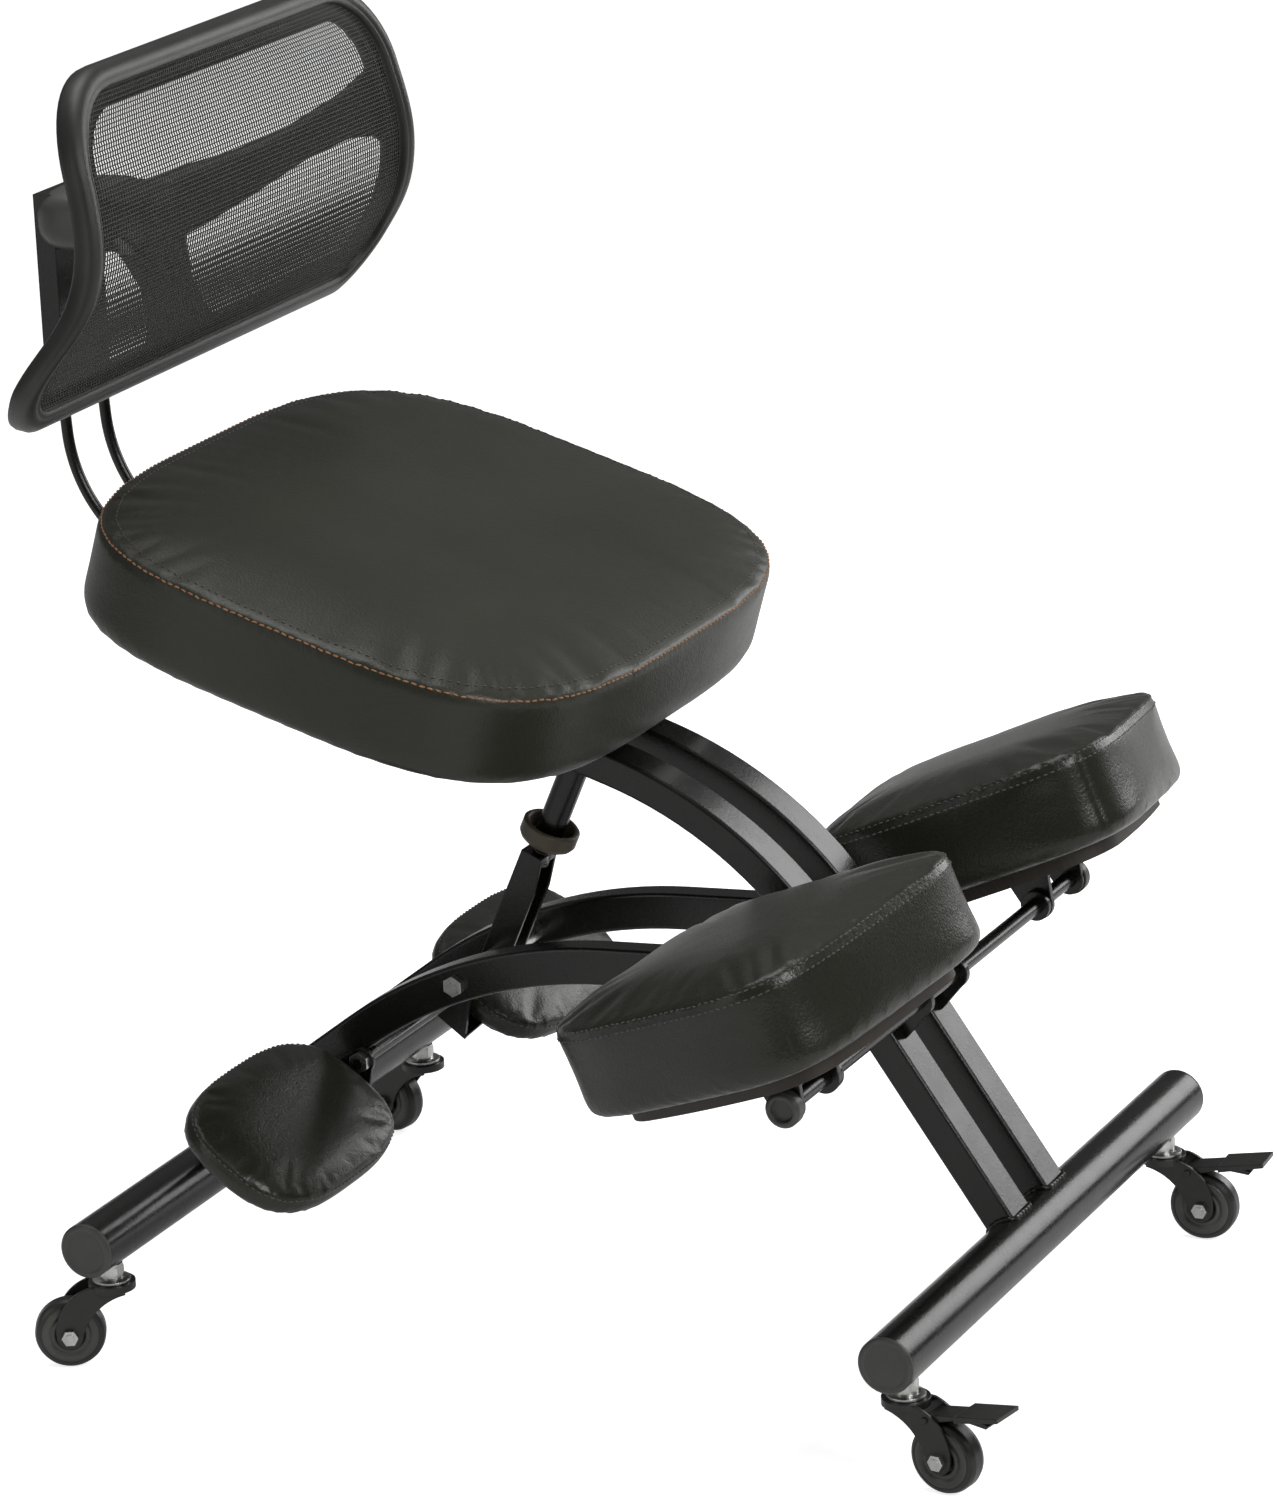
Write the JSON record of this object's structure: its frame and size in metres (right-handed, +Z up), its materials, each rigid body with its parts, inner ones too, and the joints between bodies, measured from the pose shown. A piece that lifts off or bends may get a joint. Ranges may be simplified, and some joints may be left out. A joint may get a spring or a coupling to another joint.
{
  "type": "kneeling chair",
  "caption": "Kneeling chair on four stem casters with a crowned seat, paired knee and foot cushions, a screw strut for height and a mesh backrest.",
  "frame": {"origin": "on the floor, centre of the bounding box", "axes": "+Z up, -Y towards the front where the knees go, +X along the cross tubes to the sitter's left"},
  "size_m": [0.663, 0.7866, 0.874],
  "materials": {
    "painted_steel": "satin",
    "cap_plastic": "matte",
    "zinc": "satin",
    "pu_leather": "satin",
    "plywood": "matte",
    "back_plastic": "matte",
    "mesh_fabric": "matte",
    "wheel_plastic": "matte",
    "ring_plastic": "satin"
  },
  "bodies": {
    "front_frame": {"front_crossbar": "painted_steel", "front_bar_caps": "cap_plastic", "front_caster_stems": "zinc", "main_rail_left": "painted_steel", "main_rail_right": "painted_steel", "knee_rod_lugs": "painted_steel", "knee_rod": "painted_steel", "knee_rod_collars": "painted_steel", "knee_rod_end_caps": "cap_plastic", "seat_plate": "painted_steel", "seat_board": "plywood", "seat_cushion": "pu_leather", "seat_screws": "zinc", "frame_hinge_bolt": "zinc", "main_rail_spacers": "zinc", "strut_top_bolt": "zinc", "back_rods": "painted_steel", "back_carrier": "painted_steel"},
    "rear_frame": {"rear_crossbar": "painted_steel", "rear_bar_caps": "cap_plastic", "rear_caster_stems": "zinc", "rear_rail_left": "painted_steel", "rear_rail_right": "painted_steel", "foot_rod": "painted_steel", "foot_rod_nuts": "zinc", "strut_foot_bolt": "zinc", "strut_foot_spacers": "zinc"},
    "backrest": {"back_frame": "back_plastic", "back_mesh": "mesh_fabric", "hub_cover": "back_plastic"},
    "strut_upper": {"strut_tube": "painted_steel"},
    "strut_ring": {"strut_ring_nut": "ring_plastic"},
    "strut_lower": {"strut_channel": "painted_steel", "strut_screw": "zinc"},
    "knee_pad_left": {"knee_bracket_left": "painted_steel", "knee_board_left": "plywood", "knee_cushion_left": "pu_leather"},
    "foot_pad_left": {"foot_bracket_left": "painted_steel", "foot_board_left": "plywood", "foot_cushion_left": "pu_leather"},
    "knee_pad_right": {"knee_bracket_right": "painted_steel", "knee_board_right": "plywood", "knee_cushion_right": "pu_leather"},
    "foot_pad_right": {"foot_bracket_right": "painted_steel", "foot_board_right": "plywood", "foot_cushion_right": "pu_leather"},
    "caster_front_left": {"caster_fork_front_left": "painted_steel", "caster_axle_front_left": "zinc"},
    "wheel_front_left": {"caster_wheel_front_left": "wheel_plastic"},
    "pedal_front_left": {"brake_pedal_front_left": "painted_steel"},
    "caster_front_right": {"caster_fork_front_right": "painted_steel", "caster_axle_front_right": "zinc"},
    "wheel_front_right": {"caster_wheel_front_right": "wheel_plastic"},
    "pedal_front_right": {"brake_pedal_front_right": "painted_steel"},
    "caster_rear_left": {"caster_fork_rear_left": "painted_steel", "caster_axle_rear_left": "zinc"},
    "wheel_rear_left": {"caster_wheel_rear_left": "wheel_plastic"},
    "caster_rear_right": {"caster_fork_rear_right": "painted_steel", "caster_axle_rear_right": "zinc"},
    "wheel_rear_right": {"caster_wheel_rear_right": "wheel_plastic"}
  },
  "joints": [
    {"name": "frame_hinge", "type": "hinge", "parent": "front_frame", "child": "rear_frame", "pos_m": [0, -0.19184, 0.27127], "axis": [1, 0, 0], "range_deg": [-6, 1]},
    {"name": "strut_swing", "type": "hinge", "parent": "front_frame", "child": "strut_upper", "pos_m": [0, 0.00181, 0.40322], "axis": [1, 0, 0], "range_deg": [-4.7, 0.9]},
    {"name": "strut_extension", "type": "slide", "parent": "strut_upper", "child": "strut_lower", "axis": [0, 0.41, -0.9121], "range_m": [-0.0042, 0.0243]},
    {"name": "ring_nut_turn", "type": "hinge", "parent": "strut_upper", "child": "strut_ring", "pos_m": [0, 0.07588, 0.23847], "axis": [0, -0.41, 0.9121], "continuous": true},
    {"name": "backrest_height", "type": "slide", "parent": "front_frame", "child": "backrest", "axis": [0, 0, 1], "range_m": [-0.035, 0.015]},
    {"name": "knee_pad_tilt_left", "type": "hinge", "parent": "front_frame", "child": "knee_pad_left", "pos_m": [0, -0.24624, 0.25], "axis": [1, 0, 0], "range_deg": [-10, 10]},
    {"name": "foot_pad_tilt_left", "type": "hinge", "parent": "rear_frame", "child": "foot_pad_left", "pos_m": [0, 0.1488, 0.17692], "axis": [1, 0, 0], "range_deg": [-10, 10]},
    {"name": "knee_pad_tilt_right", "type": "hinge", "parent": "front_frame", "child": "knee_pad_right", "pos_m": [0, -0.24624, 0.25], "axis": [1, 0, 0], "range_deg": [-10, 10]},
    {"name": "foot_pad_tilt_right", "type": "hinge", "parent": "rear_frame", "child": "foot_pad_right", "pos_m": [0, 0.1488, 0.17692], "axis": [1, 0, 0], "range_deg": [-10, 10]},
    {"name": "caster_swivel_front_left", "type": "hinge", "parent": "front_frame", "child": "caster_front_left", "pos_m": [0.228, -0.3162, 0.06], "axis": [0, 0, 1], "continuous": true},
    {"name": "wheel_spin_front_left", "type": "hinge", "parent": "caster_front_left", "child": "wheel_front_left", "pos_m": [0.22993, -0.34614, 0.024], "axis": [0.9979, 0.0644, 0], "continuous": true},
    {"name": "brake_pedal_front_left", "type": "hinge", "parent": "caster_front_left", "child": "pedal_front_left", "pos_m": [0.22935, -0.33716, 0.0505], "axis": [0.9979, 0.0644, 0], "range_deg": [0, 9]},
    {"name": "caster_swivel_front_right", "type": "hinge", "parent": "front_frame", "child": "caster_front_right", "pos_m": [-0.228, -0.3162, 0.06], "axis": [0, 0, 1], "continuous": true},
    {"name": "wheel_spin_front_right", "type": "hinge", "parent": "caster_front_right", "child": "wheel_front_right", "pos_m": [-0.23293, -0.34579, 0.024], "axis": [0.9864, -0.1644, 0], "continuous": true},
    {"name": "brake_pedal_front_right", "type": "hinge", "parent": "caster_front_right", "child": "pedal_front_right", "pos_m": [-0.23145, -0.33691, 0.0505], "axis": [0.9864, -0.1644, 0], "range_deg": [0, 9]},
    {"name": "caster_swivel_rear_left", "type": "hinge", "parent": "rear_frame", "child": "caster_rear_left", "pos_m": [0.228, 0.2658, 0.06], "axis": [0, 0, 1], "continuous": true},
    {"name": "wheel_spin_rear_left", "type": "hinge", "parent": "caster_rear_left", "child": "wheel_rear_left", "pos_m": [0.23344, 0.2953, 0.024], "axis": [-0.9835, 0.1812, 0], "continuous": true},
    {"name": "caster_swivel_rear_right", "type": "hinge", "parent": "rear_frame", "child": "caster_rear_right", "pos_m": [-0.228, 0.2658, 0.06], "axis": [0, 0, 1], "continuous": true},
    {"name": "wheel_spin_rear_right", "type": "hinge", "parent": "caster_rear_right", "child": "wheel_rear_right", "pos_m": [-0.24217, 0.29224, 0.024], "axis": [-0.8815, -0.4722, 0], "continuous": true}
  ],
  "couplings": [
    {"joint": "strut_swing", "follows": "frame_hinge", "ratio": 0.755},
    {"joint": "strut_extension", "follows": "frame_hinge", "m_per_rad": -0.22976}
  ]
}
